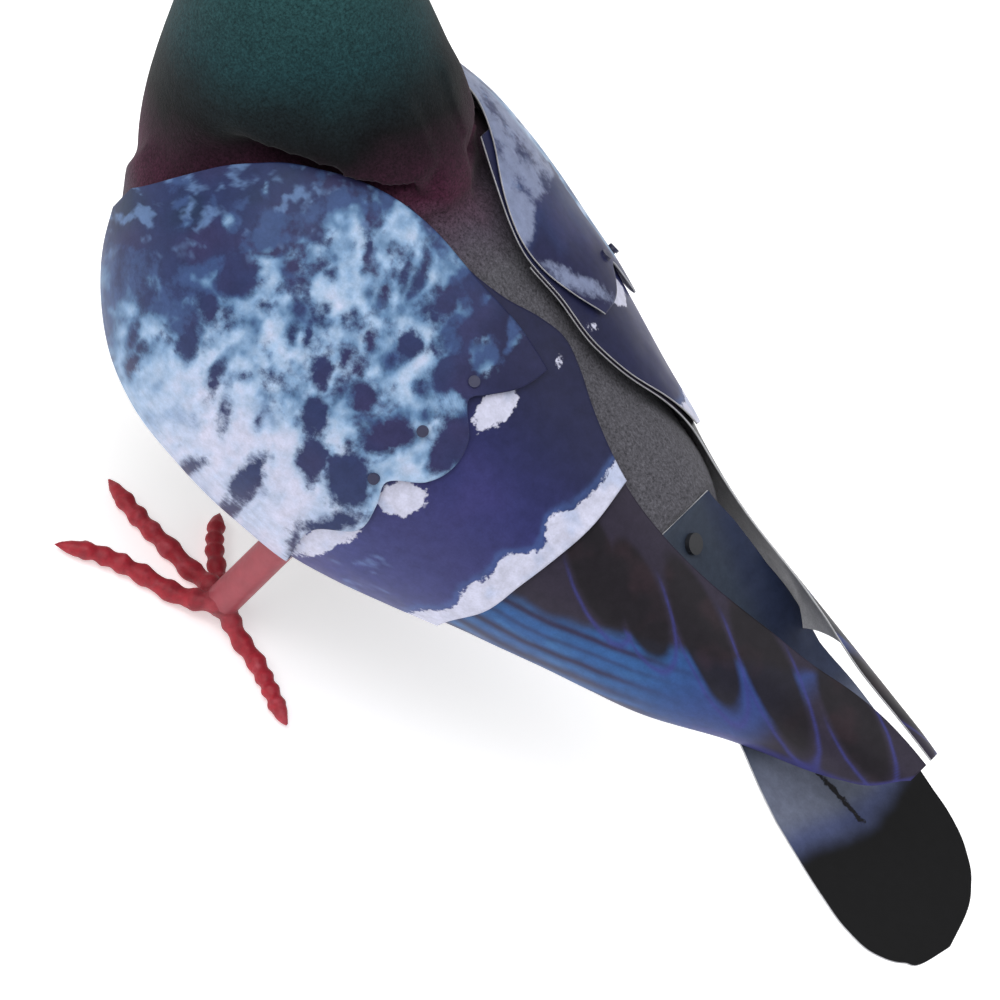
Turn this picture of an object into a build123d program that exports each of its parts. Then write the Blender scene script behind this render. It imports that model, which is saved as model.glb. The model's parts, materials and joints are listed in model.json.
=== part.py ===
from build123d import *
import math
import os

# Life-size artificial pigeon with motor-driven flapping wings. Millimetres.
# World frame: +X towards the beak, +Y the bird's left, +Z up, floor at z = 0.
# Body frame (a, l, d): a along the trunk towards the breast, l the bird's left, d out of the back.
# The body frame is pitched nose-up by BODY_PITCH about its origin.

# ---------- driving dimensions ----------
BODY_PITCH = 10.0        # trunk axis above the horizontal, degrees
BODY_X = 24.0            # body-frame origin in the world frame
BODY_Z = 76.0
SHELL_GAP = 3.6          # printed wing surface above the foam
FOAM_WALL = 8.0
SHEET = 0.6              # thickness of a printed sheet
LAYER = 0.9              # step from one wing layer to the next
WIDTH_FACTOR = 1.03      # half-width of a trunk section over its mean half-size
HEIGHT_FACTOR = 0.965    # half-height of a trunk section over its mean half-size

# Sections of the surface on which the folded wings lie: station a, centre height d, mean half-size.
WING_SECTIONS = [
    (81, 19.0, 29.0), (67, 12.5, 41.0), (54, 9.5, 49.0), (39, 7.5, 53.5), (20, 5.6, 54.3), (0, 4.2, 52.2),
    (-12, 4.0, 49.8), (-24, 4.1, 46.2), (-46, 6.7, 38.5), (-70, 9.0, 30.5), (-95, 13.6, 24.0),
    (-115, 20.5, 17.5), (-135, 25.0, 12.5), (-152, 27.0, 9.0),
]
RUMP_SECTIONS = [(-84, 7.0, 16.5), (-100, 4.6, 9.5), (-112, 3.6, 5.0)]
TRUNK_REAR = -75         # wing sections behind this station stand clear of the trunk

# Neck sections: a, d, direction above the trunk axis in degrees, half-width, half-depth.
NECK_SECTIONS = [
    (40, 16, 30, 35, 41), (60, 38, 47, 34, 41), (79.5, 64, 53, 28, 29.5), (97, 86, 52, 18.5, 20),
    (107, 99, 50, 14, 15),
]
NECK_JOINT = (91.6, 78.4, 52.5)
HEAD_CENTRE = (112, 102)
HEAD_RADII = (20.5, 15.0, 16.5)
BEAK_LENGTH = 21.0
EYE_RADIUS = 3.6

# Wing mechanism
AXIS_L = 9.0             # wing shafts stand this far each side of the middle
AXIS_D = 38.0
SHAFT_RADIUS = 2.0
RUNNING_GAP = 0.05
SHAFT_ENDS = (-25.5, 35.0)
MODULE = 1.0
WING_TEETH = 18
SECTOR_TEETH = 42
PINION_TEETH = 14
PRESSURE_ANGLE = 25.0
BACKLASH = 0.16
SWEEP_ANGLE = 19.0       # wing angle the neck relief is cut for; the wings stop at 14 degrees
MOTOR_D = AXIS_D - MODULE * (SECTOR_TEETH + PINION_TEETH) / 2
MOTOR_RADIUS = 10.0
MOTOR_SPAN = (-14.0, 11.0)
PLATES = ((-24.0, -21.0), (30.0, 33.0))
GEAR_SPAN = (23.0, 28.0)
SECTOR_SPAN = (14.5, 19.5)
ARM_SPAN = (-15.0, -9.0)
SLOT_MARGIN = 2.0
# Room in the foam for the swing of a covert sheet: station, angle of the sheet's edge from the back.
SWEEP_EDGE = [(18, 11.5), (30, 14), (46, 20.5), (56, 26.5), (62, 34.5), (68, 44.5), (74, 61.5), (80, 75.5)]
SWEEP_LOW = 128.0
SWEEP_CLEARANCE = 1.7
SWEEP_STEPS = 5

# Belly
BASE_D = (-28.0, -25.0)
HATCH_D = (-36.5, -34.5)
HATCH = (-18.0, 44.0, 19.5)       # rear, front, half-width
DOOR = (-13.0, 33.0, 11.0)
HATCH_SCREWS = (-12.0, 40.0, 17.2)   # rear row, front row, half-spacing
HINGE_RADIUS = 1.5
CELL_RADIUS = 5.25
CELL_LENGTH = 44.5
CELL_L = 5.4             # each cell's distance from the middle
TRAY_L = 12.2            # half-width of the battery tray
TRAY_TOP = -21.0
SOCKET_A = -32.0
SOCKET_BORE = 4.1
SOCKET_WALL = 2.4
SOCKET_D = (-33.5, -4.0)
SOCKET_FLANGE = 7.8
SCREW_RADIUS = 1.0

# Legs, feet and tail
LEG_A = -7.5
LEG_L = 30.0
LEG_RADIUS = 4.2
LEG_D = (-67.0, -30.0)
WIRE_RADIUS = 1.5
TOE_RADIUS = 3.0
TOES = [(39, -7.5, 1.0), (38, 19, 1.0), (21, -22, 0.95), (-31, 17, 0.95)]   # forward, outward, size
TAIL_PROFILE = [(-68, 34.0), (-90, 20.6), (-112, 11.0), (-135, 8.0), (-184, 6.0)]   # a, d of the top sheet
TAIL_HALF_WIDTHS = (9.0, 11.2, 25.0)
TAIL_BOARD_ROOT = -98.0
RUMP_SCREW_A = -74.0
LOW_EDGE_ANGLE = 38.0    # a folded wing wraps this far below the widest line of its section, degrees

pitch = math.radians(BODY_PITCH)
BODY = Plane(
    origin=(BODY_X, 0, BODY_Z),
    x_dir=(math.cos(pitch), 0, math.sin(pitch)),
    z_dir=(-math.sin(pitch), 0, math.cos(pitch)),
)
parts = {}


def put(name, shape):
    """Keep a shape drawn in the body frame as a node of the world frame."""
    parts[name] = BODY.location * shape


def across(a):
    """Plane normal to the trunk axis at station a, with local x to the left and local y to the back."""
    return Plane(origin=(a, 0, 0), x_dir=(0, 1, 0), z_dir=(1, 0, 0))


def bar(span, sketch):
    """A prism along the trunk axis from a sketch in (l, d)."""
    return extrude(across(span[0]) * sketch, span[1] - span[0])


def rod(span, l, d, radius):
    return bar(span, Pos(l, d) * Circle(radius))


def post(a, l, span, radius):
    """A round bar square to the trunk axis, from d = span[0] to span[1]."""
    return Pos(a, l, (span[0] + span[1]) / 2) * Cylinder(radius, span[1] - span[0])


def block(a, l, d):
    """A box from three (low, high) pairs."""
    low_high = (a, l, d)
    centre = [(low + high) / 2 for low, high in low_high]
    size = [high - low for low, high in low_high]
    return Pos(*centre) * Box(*size)


def other_side(shape):
    return mirror(shape, about=Plane.XZ)


def ellipse_at(a, centre, size, grow):
    half_width = max(size * WIDTH_FACTOR + grow, 1.5)
    half_height = max(size * HEIGHT_FACTOR + grow, 1.2)
    return across(a) * (Pos(0, centre) * Ellipse(half_width, half_height))


def trunk(grow):
    """Closed trunk from breast to rump, grown from the foam's skin by grow."""
    front = [row for row in WING_SECTIONS if row[0] > TRUNK_REAR]
    faces = [ellipse_at(a, centre, size, grow - SHELL_GAP) for a, centre, size in front]
    faces += [ellipse_at(a, centre, size, grow) for a, centre, size in RUMP_SECTIONS]
    return loft(faces)


def neck_plane(a, d, angle):
    """Plane square to the neck where the neck runs at this angle above the trunk axis."""
    turn = math.radians(angle)
    return Plane(origin=(a, 0, d), x_dir=(0, 1, 0), z_dir=(math.cos(turn), 0, math.sin(turn)))


def neck():
    faces = []
    for a, d, angle, half_width, half_depth in NECK_SECTIONS:
        faces.append(neck_plane(a, d, angle) * Ellipse(half_width, half_depth))
    return loft(faces)


def neck_side(sign):
    """Half space beyond (+1) or before (-1) the joint between neck and head."""
    return neck_plane(*NECK_JOINT).location * (Pos(0, 0, sign * 100) * Box(200, 200, 200))


def section_radius(a):
    """Centre height and mean half-size of the wing surface at station a, between the listed sections."""
    for (a1, c1, s1), (a2, c2, s2) in zip(WING_SECTIONS, WING_SECTIONS[1:]):
        if a1 >= a >= a2:
            t = (a1 - a) / (a1 - a2)
            return c1 + t * (c2 - c1), s1 + t * (s2 - s1)
    return WING_SECTIONS[-1][1:]


# ---------- wing sheets ----------
def wing_surface(grow):
    return loft([ellipse_at(a, centre, size, grow) for a, centre, size in WING_SECTIONS])


def dorsal_side():
    """Prism over the left wing's plan: everything left of its dorsal edge."""
    edge = [(80, 34), (72, 32), (59, 27.5), (46, 22.5), (23, 14.5), (5, 12.5), (-20, 8), (-35, 8)]
    tip = [(-53, 11.5), (-85, 10), (-115, 4), (-140, 2.6), (-152, 2.6)]
    outline = edge + tip + [(-160, 90), (90, 90), (90, 34)]
    return extrude(Polygon(*outline, align=None), 200, both=True)


def scalloped(front, rear_a, low_line, teeth, depth):
    """Prism over a side view: a front edge, the low edge and a rear edge of rounded feather ends."""
    top_d = 70.0
    front_a = front[-1][0]
    stations = [front_a + (rear_a - front_a) * k / 6 for k in range(1, 7)]
    outline = front + [(a, low_line(a)) for a in stations]
    low_d = low_line(rear_a)
    steps = 4 * teeth
    for k in range(1, steps + 1):
        bulge = depth * abs(math.sin(math.pi * k / 4))
        outline.append((rear_a - bulge, low_d + (top_d - low_d) * k / steps))
    return extrude(Plane.XZ * Polygon(*outline, align=None), 120, both=True)


def low_edge(a):
    """Height of a folded wing's low edge: it wraps 38 degrees below the widest line of its section."""
    centre, size = section_radius(a)
    return centre - math.sin(math.radians(LOW_EDGE_ANGLE)) * size * HEIGHT_FACTOR


def wing_sheet(layer, front, rear_a, teeth, depth):
    plan = dorsal_side() & scalloped(front, rear_a, low_edge, teeth, depth)
    return (wing_surface(layer * LAYER + SHEET) & plan) - wing_surface(layer * LAYER)


def skin_point(centre, size, grow, angle):
    """A point (l, d) of a section of the wing surface, at an angle from the back in degrees."""
    turn = math.radians(angle)
    width = size * WIDTH_FACTOR + grow
    height = size * HEIGHT_FACTOR + grow
    return width * math.sin(turn), centre + height * math.cos(turn)


def swung(point, angle):
    """A section point of the left wing after the wing has turned about its shaft."""
    turn = math.radians(angle)
    l, d = point[0] - AXIS_L, point[1] - AXIS_D
    return AXIS_L + l * math.cos(turn) - d * math.sin(turn), AXIS_D + l * math.sin(turn) + d * math.cos(turn)


def sweep_room():
    """Space that the left covert sheet passes through, from rest to the top of its swing."""
    faces = []
    for a, edge in SWEEP_EDGE:
        centre, size = section_radius(a)
        angles = [edge + (SWEEP_LOW - edge) * k / SWEEP_STEPS for k in range(SWEEP_STEPS + 1)]
        inner = 2 * LAYER - SWEEP_CLEARANCE
        outer = 2 * LAYER + SHEET + SWEEP_CLEARANCE
        rest = [skin_point(centre, size, inner, angle) for angle in angles]
        top = [swung(skin_point(centre, size, outer, angle), SWEEP_ANGLE) for angle in reversed(angles)]
        faces.append(across(a) * Polygon(*rest, *top, align=None))
    return loft(faces, ruled=True)


# ---------- gears ----------
def involute_gear(teeth, first_angle, addendum=1.0):
    """Spur gear sketch centred on the origin with one tooth centred on first_angle."""
    pitch_r = MODULE * teeth / 2
    base_r = pitch_r * math.cos(math.radians(PRESSURE_ANGLE))
    root_r = pitch_r - 1.25 * MODULE
    tip_r = pitch_r + addendum * MODULE
    roll = math.tan(math.radians(PRESSURE_ANGLE)) - math.radians(PRESSURE_ANGLE)
    half_tooth = (math.pi * MODULE / 2 - BACKLASH) / (2 * pitch_r) + roll
    points = []
    for k in range(teeth):
        middle = math.radians(first_angle) + 2 * math.pi * k / teeth
        flank = []
        for step in range(5):
            radius = base_r + (tip_r - base_r) * step / 4
            swing = math.acos(base_r / radius)
            flank.append((radius, half_tooth - (math.tan(swing) - swing)))
        foot = [(root_r, half_tooth)] + flank
        points += [(r * math.cos(middle - t), r * math.sin(middle - t)) for r, t in foot]
        points += [(r * math.cos(middle + t), r * math.sin(middle + t)) for r, t in reversed(foot)]
    return Polygon(*points, align=None)


def wedge(radius, low, high):
    """Slice of a disc between two angles in degrees, as a polygon."""
    rim = [math.radians(low + (high - low) * k / 8) for k in range(9)]
    return Polygon((0, 0), *[(radius * math.cos(t), radius * math.sin(t)) for t in rim], align=None)


# ---------- foam body, head and tail ----------
trunk_solid = trunk(0)
cavity = trunk(-FOAM_WALL) & block((-48, 48), (-60, 60), (-45, 47))
base_room = block((-20, 46), (-20.5, 20.5), (-34, -20)) + block((-14, -1), (-35, 35), (-28.5, -20))
base_room = base_room + block((-27, -19), (-18, 18), (-28.5, -20))
hatch_room = block((HATCH[0] - 0.3, HATCH[1] + 0.3), (-HATCH[2] - 0.3, HATCH[2] + 0.3), (-60, -25))
plate_room = block((-27, 37.5), (-15, 15), (0, AXIS_D + 4.3))
gear_room = block((GEAR_SPAN[0] - 1.5, GEAR_SPAN[1] + 1.5), (-20.5, 20.5), (20, AXIS_D + 11))
slot_a = (ARM_SPAN[0] - SLOT_MARGIN, ARM_SPAN[1] + SLOT_MARGIN)
slot = bar(slot_a, Pos(AXIS_L, AXIS_D) * (wedge(34, 0, 92) + Circle(6.0)))
socket_room = post(SOCKET_A, 0, (-60, 0), SOCKET_BORE + SOCKET_WALL)
socket_room = socket_room + post(SOCKET_A, 0, (-24, 0), SOCKET_FLANGE)
leg_rooms = [post(LEG_A, side * LEG_L, (-70, -28), LEG_RADIUS) for side in (1, -1)]

foam = (trunk_solid + (neck() & neck_side(-1))) - (cavity + base_room + hatch_room + plate_room + gear_room)
foam = foam - slot - other_side(slot) - socket_room - leg_rooms[0] - leg_rooms[1]
dowel = neck_plane(*NECK_JOINT).location * Cylinder(5, 36)
sweep = sweep_room()
foam = foam - dowel - sweep - other_side(sweep)

skull = Pos(HEAD_CENTRE[0], 0, HEAD_CENTRE[1]) * Rot(0, BODY_PITCH, 0) * scale(Sphere(1), by=HEAD_RADII)
head = (skull + (neck() & neck_side(1))) - dowel


def beak_cone(low, high, length, lift):
    """Half of the beak: a tapered, slightly hooked cone with its base in the face."""
    base = Plane(origin=(0, 0, lift), x_dir=(0, 1, 0), z_dir=(1, 0, 0)) * Ellipse(4.2, 3.6)
    middle = Plane(origin=(length * 0.6, 0, lift), x_dir=(0, 1, 0), z_dir=(1, 0, 0)) * Ellipse(2.6, 2.4)
    tip = Plane(origin=(length, 0, lift - 1.4), x_dir=(0, 1, 0), z_dir=(1, 0, 0)) * Ellipse(0.9, 0.9)
    return loft([base, middle, tip]) & block((-1, 60), (-10, 10), (low, high))


BEAK = Pos(HEAD_CENTRE[0] + 17, 0, HEAD_CENTRE[1] - 6) * Rot(0, BODY_PITCH + 8, 0)
upper_beak = BEAK * beak_cone(-0.4, 9, BEAK_LENGTH, 0)
lower_beak = BEAK * beak_cone(-9, -0.45, BEAK_LENGTH - 2.5, 0)
cere = BEAK * (Pos(4.6, 1.5, 3.4) * scale(Sphere(1), by=(3.6, 1.7, 1.7)))
cere = (cere + BEAK * (Pos(4.6, -1.5, 3.4) * scale(Sphere(1), by=(3.6, 1.7, 1.7)))) - upper_beak
eye_spot = (HEAD_CENTRE[0] + 6.5, 13.2, HEAD_CENTRE[1] + 1.5)
eye = Pos(*eye_spot) * Rot(90, 0, 0) * Cylinder(EYE_RADIUS, 3.4)
eye_dome = scale(Sphere(1), by=(EYE_RADIUS, 1.2, EYE_RADIUS))
eye = eye + Pos(eye_spot[0], eye_spot[1] + 1.7, eye_spot[2]) * eye_dome
head = head - upper_beak - lower_beak - cere - eye - other_side(eye)
upper_beak = upper_beak - lower_beak


def tail_outline(inset, root_a):
    """Plan of the tail: a slim root that widens to a rounded end."""
    root, waist, wide = [half - inset for half in TAIL_HALF_WIDTHS]
    end_a = TAIL_PROFILE[-1][0] + inset
    left = Spline((root_a, root), (-110, waist), (-155, wide), (end_a, 0), tangents=((-1, 0.1), (0, -1)))
    right = mirror(left, about=Plane.XZ)
    return make_face(Curve() + [left, right, Line((root_a, root), (root_a, -root))])


def tail_band(low, high):
    """Side profile of the tail between two heights over its top-sheet line."""
    upper = [(a, d + high) for a, d in TAIL_PROFILE]
    lower = [(a, d + low) for a, d in reversed(TAIL_PROFILE)]
    return extrude(Plane.XZ * Polygon(*upper, *lower, align=None), 60, both=True)


def tail_sheet(low, high, inset, root_a):
    return tail_band(low, high) & extrude(tail_outline(inset, root_a), 60, both=True)


rump_d = TAIL_PROFILE[0][1] - 3.65
RUMP = Plane(origin=(RUMP_SCREW_A, 0, rump_d), x_dir=(0, 1, 0), z_dir=(-0.52, 0, 0.854))
rump_bore = RUMP.location * Cylinder(SCREW_RADIUS, 30)
tail_print = tail_sheet(0, 0.6, 0, -68) - rump_bore
tail_board = tail_sheet(-1.6, -0.1, 3, TAIL_BOARD_ROOT)
foam = foam - (tail_band(-1.7, 40) & block((-190, -67), (-40, 40), (-40, 60))) - rump_bore
screw_head = Pos(0, 0, 1.3) * Cylinder(2.6, 1.2)
rump_screw = RUMP.location * (Pos(0, 0, -5.8) * Cylinder(SCREW_RADIUS, 13) + screw_head)

# ---------- chassis ----------
shaft_holes = [Pos(side * AXIS_L, AXIS_D) * Circle(3.5) for side in (1, -1)]
plate_top = AXIS_D + 4.0
plate_outline = Pos(0, (plate_top + BASE_D[1]) / 2) * Rectangle(28.4, plate_top - BASE_D[1])
plate_outline = plate_outline - shaft_holes[0] - shaft_holes[1]
rear_plate = bar(PLATES[0], plate_outline)
front_plate = bar(PLATES[1], plate_outline)
base_plate = block((-25, 45), (-17, 17), BASE_D) + block((-13, -2), (-34, 34), BASE_D)
hatch_screw_spots = [(a, side * HATCH_SCREWS[2]) for a in HATCH_SCREWS[:2] for side in (1, -1)]
for a, l in hatch_screw_spots:
    base_plate = base_plate + post(a, l, (HATCH_D[1], BASE_D[1]), 2.1)
    base_plate = base_plate - post(a, l, (-50, -29), SCREW_RADIUS)
for side in (1, -1):
    base_plate = base_plate - post(LEG_A, side * LEG_L, (-40, 0), WIRE_RADIUS)
TRAY_A = (DOOR[0] - 2, DOOR[1] + 2)
tray_room = block(TRAY_A, (-TRAY_L, TRAY_L), (-40, TRAY_TOP))
base_plate = base_plate - tray_room
front_plate = front_plate - tray_room


def bushing(span, side):
    """Flanged sleeve for a wing shaft, its flange on the inner face of its plate."""
    inner = span[1] if span[0] < 0 else span[0] - 1
    body = rod(span, side * AXIS_L, AXIS_D, 3.5) + rod((inner, inner + 1), side * AXIS_L, AXIS_D, 4.0)
    return body - rod((-40, 50), side * AXIS_L, AXIS_D, SHAFT_RADIUS + RUNNING_GAP)


bushings = Compound(children=[bushing(span, side) for span in PLATES for side in (1, -1)])
motor_can = rod(MOTOR_SPAN, AXIS_L, MOTOR_D, MOTOR_RADIUS) - rod((0, 20), AXIS_L, MOTOR_D, 1.05)
bracket_face = Pos(AXIS_L - 3, -7) * Rectangle(22, 34) - Pos(AXIS_L, MOTOR_D) * Circle(1.5)
motor_bracket = bar((11, 13), bracket_face)
strap_ring = Pos(AXIS_L, MOTOR_D) * (Circle(11.5) - Circle(MOTOR_RADIUS))
strap_legs = Pos(AXIS_L - 3, -10) * Rectangle(16, 28) - Pos(AXIS_L, MOTOR_D) * Circle(MOTOR_RADIUS)
motor_bracket = motor_bracket - tray_room
motor_strap = bar((-9, -4), strap_ring + strap_legs) - tray_room
control_board = block((-18, 8), (-15.5, -13.9), (BASE_D[1], 3))
chips = [block((-12, -6), (-13.9, -12), (-16, -8)), block((-3, 4), (-13.9, -11.5), (-12, -2))]

# ---------- belly hatch, battery bay, switch and stake socket ----------
HINGE_L = DOOR[2] + 1.8
HINGE_D = HATCH_D[0] + 1.0
LUGS = ((DOOR[0] - 3.4, DOOR[0] - 0.5), (DOOR[1] + 0.5, DOOR[1] + 3.4))
hatch = block((HATCH[0], HATCH[1]), (-HATCH[2], HATCH[2]), HATCH_D)
hatch = hatch - block((DOOR[0] - 0.5, DOOR[1] + 0.5), (-DOOR[2] - 0.5, HINGE_L + 2.9), (-50, -30))
hatch = hatch - block((38.2, 42.8), (-5, 5), (-50, -30))
for a, l in hatch_screw_spots:
    hatch = hatch - post(a, l, (-50, -30), SCREW_RADIUS)
for span in LUGS:
    hatch = hatch + (rod(span, HINGE_L, HINGE_D, 2.3) & block((-50, 50), (0, 40), (-50, HATCH_D[1])))
hatch = hatch - rod((-40, 40), HINGE_L, HINGE_D, HINGE_RADIUS)
hinge_pin = rod((LUGS[0][0], LUGS[1][1]), HINGE_L, HINGE_D, HINGE_RADIUS)
door_leaf = block((DOOR[0], DOOR[1]), (-DOOR[2], HINGE_L), HATCH_D)
knuckle = rod((DOOR[0], DOOR[1]), HINGE_L, HINGE_D, 2.2)
battery_door = door_leaf + knuckle - rod((-40, 40), HINGE_L, HINGE_D, HINGE_RADIUS + RUNNING_GAP)
TRAY_D = (HATCH_D[1] + 1.6, TRAY_TOP)
CELL_D = TRAY_D[0] + 0.2 + CELL_RADIUS
middle_a = (DOOR[0] + DOOR[1]) / 2
tray = block(TRAY_A, (-TRAY_L, TRAY_L), TRAY_D)
tray = tray - block((TRAY_A[0] + 1, TRAY_A[1] - 1), (-TRAY_L + 1, TRAY_L - 1), (-45, TRAY_D[1] - 1))
half_cell = CELL_LENGTH / 2
cell_span = (middle_a - half_cell, middle_a + half_cell)
cells = [rod(cell_span, side * CELL_L, CELL_D, CELL_RADIUS) for side in (1, -1)]
contacts = [
    block((end, end + 1.2), (side * CELL_L - 3, side * CELL_L + 3), (CELL_D - 3, CELL_D + 3))
    for end in (cell_span[0] - 1.25, cell_span[1] + 0.05) for side in (1, -1)
]
hatch_screws = [
    post(a, l, (HATCH_D[0], -29), SCREW_RADIUS) + post(a, l, (HATCH_D[0] - 1.2, HATCH_D[0]), 1.9)
    for a, l in hatch_screw_spots
]
SWITCH_A = 40.5
slider = block((SWITCH_A - 1.3, SWITCH_A + 1.3), (-3.4, 0.2), (HATCH_D[0] - 1.2, -33))
slider = slider + block((SWITCH_A - 1.9, SWITCH_A + 1.9), (-4.0, 0.8), (-33.2, -32))
switch_body = block((SWITCH_A - 3.2, SWITCH_A + 3.2), (-5.8, 5.8), (HATCH_D[1], -29.5))
switch_body = switch_body - block((SWITCH_A - 2.2, SWITCH_A + 2.2), (-4.6, 4.6), (-50, -31.6))
socket = post(SOCKET_A, 0, SOCKET_D, SOCKET_BORE + SOCKET_WALL) + post(SOCKET_A, 0, (-24, -22), SOCKET_FLANGE)
socket = socket - post(SOCKET_A, 0, (-50, -8), SOCKET_BORE)

# ---------- legs and feet ----------
wire = post(LEG_A, LEG_L, (LEG_D[0], BASE_D[1]), WIRE_RADIUS)
sleeve = post(LEG_A, LEG_L, LEG_D, LEG_RADIUS) - post(LEG_A, LEG_L, (-80, 0), WIRE_RADIUS)


def limb(start, end, r1, r2):
    """Tapered round limb with ball ends between two points."""
    along = Vector(*end) - Vector(*start)
    frame = Plane(origin=start, z_dir=along)
    cone = frame.location * (Pos(0, 0, along.length / 2) * Cone(r1, r2, along.length))
    return cone + Pos(*start) * Sphere(r1) + Pos(*end) * Sphere(r2)


def foot(side):
    """Four toes in the world frame, standing on the floor under the left (1) or right (-1) leg."""
    ankle = (BODY.location * Pos(LEG_A, side * LEG_L, LEG_D[0])).position
    shape = Pos(*ankle) * Sphere(5.0)
    for forward, outward, size in TOES:
        radius = TOE_RADIUS * size
        knuckle_at = (ankle.X + 0.32 * forward, ankle.Y + side * 0.32 * outward, radius + 1.1)
        middle = (ankle.X + 0.66 * forward, ankle.Y + side * 0.66 * outward, radius)
        tip = (ankle.X + forward, ankle.Y + side * outward, 1.2)
        shape = shape + limb(tuple(ankle), knuckle_at, 3.6, radius + 0.2)
        shape = shape + limb(knuckle_at, middle, radius + 0.2, radius)
        shape = shape + limb(middle, tip, radius, 1.0)
    return shape


# ---------- wings ----------
shoulder = [(57, 70), (57, 47), (70, 30), (76, 8), (75, -6), (66, -16), (54, low_edge(54))]
covert = wing_sheet(2, shoulder, -17, 7, 6)
secondary = wing_sheet(1, [(30, 70), (30, low_edge(30))], -46, 6, 6)
flight = wing_sheet(0, [(0, 70), (0, low_edge(0))], -140, 5, 10)
arm_a = sum(ARM_SPAN) / 2
arm_centre, arm_size = section_radius(arm_a)
arm_width = arm_size * WIDTH_FACTOR
arm_height = arm_size * HEIGHT_FACTOR
band = Ellipse(arm_width - 1.1, arm_height - 1.1) - Ellipse(arm_width - 2.6, arm_height - 2.6)
fan = Pos(0, arm_centre) * wedge(90, 8, 70)
link_top = (17.5, arm_centre + arm_height - 4.4)
link_low = (23.5, arm_centre + arm_height - 8.2)
link = Polygon((AXIS_L + 3, AXIS_D - 1), link_low, link_top, (AXIS_L + 0.5, AXIS_D + 2.5), align=None)
strap = (Pos(0, arm_centre) * band) & fan
hub = Pos(AXIS_L, AXIS_D) * Circle(4.2)
arm = bar(ARM_SPAN, strap + link + hub) - rod((-30, 40), AXIS_L, AXIS_D, SHAFT_RADIUS)
shaft = rod(SHAFT_ENDS, AXIS_L, AXIS_D, SHAFT_RADIUS)
rivet_angles = (32, 50, 68)


def rivet(angle):
    """Snap rivet through the arm and the sheets, square to the wing surface."""
    turn = math.radians(angle)
    l = arm_width * math.sin(turn)
    d = arm_centre + arm_height * math.cos(turn)
    out = Vector(0, math.sin(turn) / arm_width, math.cos(turn) / arm_height).normalized()
    frame = Plane(origin=(arm_a, l, d), z_dir=out)
    stem = frame.location * (Pos(0, 0, 0.5) * Cylinder(1.1, 6.0))
    cap = frame.location * (Pos(0, 0, 3.2) * Cylinder(1.4, 0.9))
    return stem, cap


rivets = [rivet(angle) for angle in rivet_angles]
stems = [stem for stem, cap in rivets]
for stem in stems:
    arm = arm - stem
    flight = flight - stem
    secondary = secondary - stem
    covert = covert - stem
caps = Compound(children=[stem + cap for stem, cap in rivets])


def gear_on(side, first_angle):
    sketch = involute_gear(WING_TEETH, first_angle) - Circle(SHAFT_RADIUS)
    return bar(GEAR_SPAN, Pos(side * AXIS_L, AXIS_D) * sketch)


sector_wheel = involute_gear(SECTOR_TEETH, -90, 0.85) & wedge(30, -150, -68)
sector = Pos(AXIS_L, AXIS_D) * (sector_wheel + Circle(4.2) - Circle(SHAFT_RADIUS))
pinion = Pos(AXIS_L, MOTOR_D) * (involute_gear(PINION_TEETH, 90 + 180 / PINION_TEETH) - Circle(1.0))
motor_shaft = rod((0, 21), AXIS_L, MOTOR_D, 1.0)

# ---------- nodes ----------
put("body_foam", foam)
put("head", head)
put("neck_dowel", dowel)
put("upper_beak", upper_beak)
put("lower_beak", lower_beak)
put("cere", cere)
put("eye_left", eye)
put("eye_right", other_side(eye))
put("tail_print", tail_print)
put("tail_board", tail_board)
put("rump_screw", rump_screw)
put("base_plate", base_plate)
put("rear_plate", rear_plate)
put("front_plate", front_plate)
put("shaft_bushings", bushings)
put("motor_can", motor_can)
put("motor_bracket", motor_bracket)
put("motor_strap", motor_strap)
put("control_board", control_board)
put("board_chips", Compound(children=chips))
put("belly_hatch", hatch)
put("hatch_screws", Compound(children=hatch_screws))
put("door_hinge_pin", hinge_pin)
put("battery_door", battery_door)
put("battery_tray", tray)
put("battery_cells", Compound(children=cells))
put("battery_contacts", Compound(children=contacts))
put("switch_body", switch_body)
put("switch_slider", slider)
put("stake_socket", socket)
put("leg_wire_left", wire)
put("leg_wire_right", other_side(wire))
put("leg_left", sleeve)
put("leg_right", other_side(sleeve))
put("motor_pinion", bar((15, 20), pinion))
put("motor_shaft", motor_shaft)
put("left_drive_sector", bar(SECTOR_SPAN, sector))
put("left_wing_gear", gear_on(1, 180))
put("right_wing_gear", gear_on(-1, 180 / WING_TEETH))
for name, shape in (
    ("wing_shaft", shaft), ("wing_arm", arm), ("wing_rivets", caps),
    ("flight_sheet", flight), ("secondary_sheet", secondary), ("covert_sheet", covert),
):
    put("left_" + name, shape)
    put("right_" + name, other_side(shape))
leg_bores = BODY.location * (wire + sleeve)
for side, name in ((1, "foot_left"), (-1, "foot_right")):
    legs = leg_bores if side > 0 else mirror(leg_bores, about=Plane.XZ)
    parts[name] = foot(side) - legs

os.makedirs("parts", exist_ok=True)
for name, shape in parts.items():
    export_step(shape, f"parts/{name}.step")
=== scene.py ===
import json
import math

import bmesh
import bpy
import numpy as np
from mathutils import Matrix, Vector


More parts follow.
